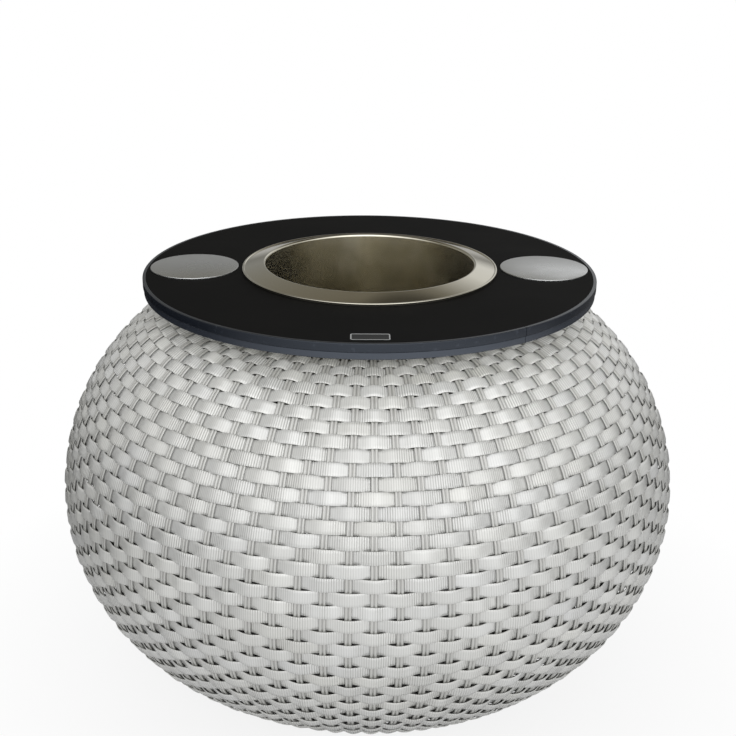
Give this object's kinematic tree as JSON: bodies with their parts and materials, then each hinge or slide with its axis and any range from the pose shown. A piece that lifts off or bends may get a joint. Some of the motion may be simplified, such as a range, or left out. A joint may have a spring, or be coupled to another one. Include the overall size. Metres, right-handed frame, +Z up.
{
  "type": "ice bucket coffee table",
  "caption": "Round coffee table on a ball-shaped woven base, with a lift-out steel ice bucket in the middle of its black board and a steel coaster let in on each side.",
  "frame": {"origin": "on the floor under the middle of the ball", "axes": "+Z up, -Y to the front, +X to the right as seen from the front"},
  "size_m": [0.5974, 0.5974, 0.4174],
  "materials": {
    "woven_strap": "ribbed synthetic strap, warm pale grey",
    "frame_paint": "powder coat, satin, grey",
    "glide_plastic": "moulded, matt",
    "board_face": "laminate, matt, black",
    "band_edge": "edge band, satin, charcoal",
    "bucket_steel": "polished stainless steel",
    "coaster_steel": "satin stainless steel"
  },
  "bodies": {
    "table": {"base_ring": "frame_paint", "belly_hoop": "frame_paint", "board_bracket_1": "frame_paint", "board_bracket_2": "frame_paint", "board_bracket_3": "frame_paint", "board_bracket_4": "frame_paint", "board_bracket_5": "frame_paint", "board_bracket_6": "frame_paint", "edge_band": "band_edge", "floor_glide_1": "glide_plastic", "floor_glide_2": "glide_plastic", "floor_glide_3": "glide_plastic", "floor_glide_4": "glide_plastic", "floor_glide_5": "glide_plastic", "floor_glide_6": "glide_plastic", "frame_rib_1": "frame_paint", "frame_rib_2": "frame_paint", "frame_rib_3": "frame_paint", "frame_rib_4": "frame_paint", "frame_rib_5": "frame_paint", "frame_rib_6": "frame_paint", "frame_rib_7": "frame_paint", "frame_rib_8": "frame_paint", "lower_hoop": "frame_paint", "tabletop": "board_face", "top_ring": "frame_paint", "woven_base": "woven_strap", "woven_belly": "woven_strap", "woven_top": "woven_strap"},
    "bucket": {"ice_bucket": "bucket_steel"},
    "left_coaster": {"coaster_left": "coaster_steel"},
    "right_coaster": {"coaster_right": "coaster_steel"}
  },
  "joints": [
    {"name": "bucket_lift", "type": "slide", "parent": "table", "child": "bucket", "axis": [0, 0, 1], "range_m": [0, 0.26]},
    {"name": "left_coaster_lift", "type": "slide", "parent": "table", "child": "left_coaster", "axis": [0, 0, 1], "range_m": [0, 0.03]},
    {"name": "right_coaster_lift", "type": "slide", "parent": "table", "child": "right_coaster", "axis": [0, 0, 1], "range_m": [0, 0.03]}
  ]
}
